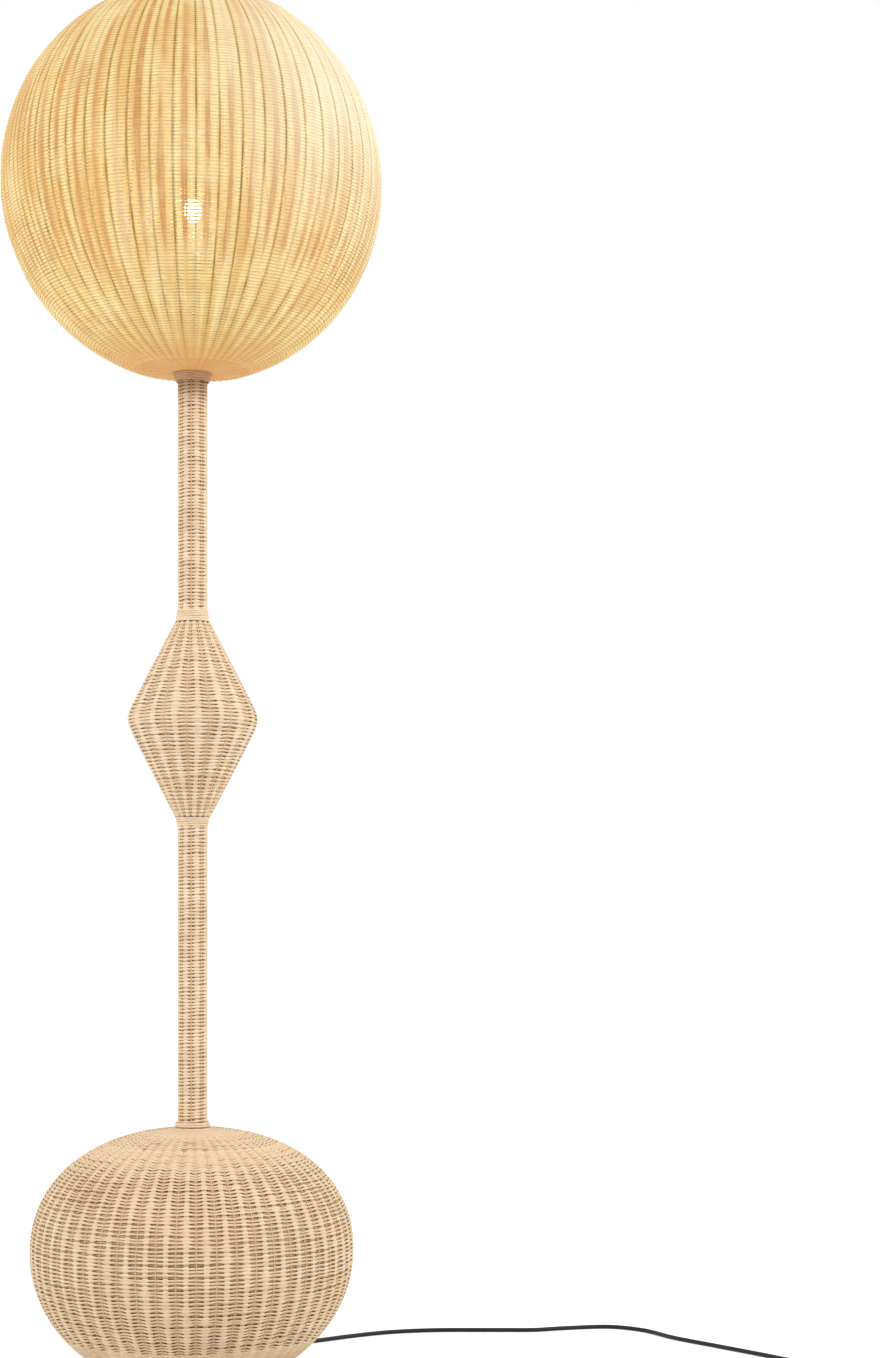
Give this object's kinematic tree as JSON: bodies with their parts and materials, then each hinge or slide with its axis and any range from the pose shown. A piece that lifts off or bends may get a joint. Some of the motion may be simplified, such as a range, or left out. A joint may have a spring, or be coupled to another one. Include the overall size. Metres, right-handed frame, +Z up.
{
  "type": "rattan floor lamp",
  "caption": "Woven rattan floor lamp: a globe shade on a slim stem with a diamond knot, on a squashed ball base, with a corded foot switch and plug.",
  "frame": {"origin": "on the floor under the lamp's axis, at the middle of the base", "axes": "+Z up the stem, +Y to the back, where the cord leaves the base, +X to the right seen from the front"},
  "size_m": [0.9707, 0.5417, 1.5954],
  "materials": {
    "natural_rattan": "peeled natural rattan, closely woven, satin",
    "lit_rattan": "peeled natural rattan, woven, lit from inside",
    "bright_steel": "zinc-plated steel",
    "cast_weight": "painted casting",
    "pad_rubber": "matt",
    "black_moulding": "fine-grained moulding",
    "white_ceramic": "glazed insulator",
    "brass_parts": "pressed brass",
    "opal_bulb": "opal, glowing warm white",
    "button_rubber": "matt",
    "black_cord": "smooth cable sheath"
  },
  "bodies": {
    "lamp": {"base_border": "natural_rattan", "base_crown": "natural_rattan", "base_frame": "bright_steel", "base_nut": "bright_steel", "base_pipe": "bright_steel", "base_plate": "bright_steel", "base_washer": "bright_steel", "base_weave": "natural_rattan", "cord_coil": "black_cord", "cord_gland": "black_moulding", "cord_to_coil": "black_cord", "cord_to_plug": "black_cord", "cord_to_switch": "black_cord", "counterweight": "cast_weight", "foot_ring": "natural_rattan", "inner_lead": "black_cord", "knot_frame": "bright_steel", "knot_weave": "natural_rattan", "lampholder_cap": "black_moulding", "lampholder_contact": "brass_parts", "lampholder_core": "white_ceramic", "lampholder_shell": "black_moulding", "lower_collar": "natural_rattan", "lower_stem_weave": "natural_rattan", "lower_tube": "bright_steel", "plate_screw_1": "bright_steel", "plate_screw_2": "bright_steel", "plate_screw_3": "bright_steel", "plug_body": "black_moulding", "plug_pin_1": "brass_parts", "plug_pin_2": "brass_parts", "riser_pipe": "bright_steel", "rubber_pad_1": "pad_rubber", "rubber_pad_2": "pad_rubber", "rubber_pad_3": "pad_rubber", "rubber_pad_4": "pad_rubber", "shade_border": "lit_rattan", "shade_bottom_cap": "lit_rattan", "shade_frame": "bright_steel", "shade_nut": "bright_steel", "shade_washer": "bright_steel", "shade_weave": "lit_rattan", "stem_cap": "bright_steel", "stem_flare": "natural_rattan", "switch_block": "black_moulding", "switch_cover": "black_moulding", "switch_tray": "black_moulding", "thread_sleeve": "brass_parts", "tube_joiner": "bright_steel", "tube_plug": "bright_steel", "upper_collar": "natural_rattan", "upper_stem_weave": "natural_rattan", "upper_tube": "bright_steel"},
    "bulb": {"bulb_cap": "brass_parts", "bulb_glass": "opal_bulb"},
    "foot_button": {"switch_button": "button_rubber"}
  },
  "joints": [
    {"name": "bulb_turn", "type": "hinge", "parent": "lamp", "child": "bulb", "pos_m": [0, 0, 1.3], "axis": [0, 0, 1], "range_deg": [0, 1080]},
    {"name": "foot_press", "type": "slide", "parent": "lamp", "child": "foot_button", "axis": [0, 0, -1], "range_m": [0, 0.0025], "stiffness_N_per_m": 4000}
  ]
}
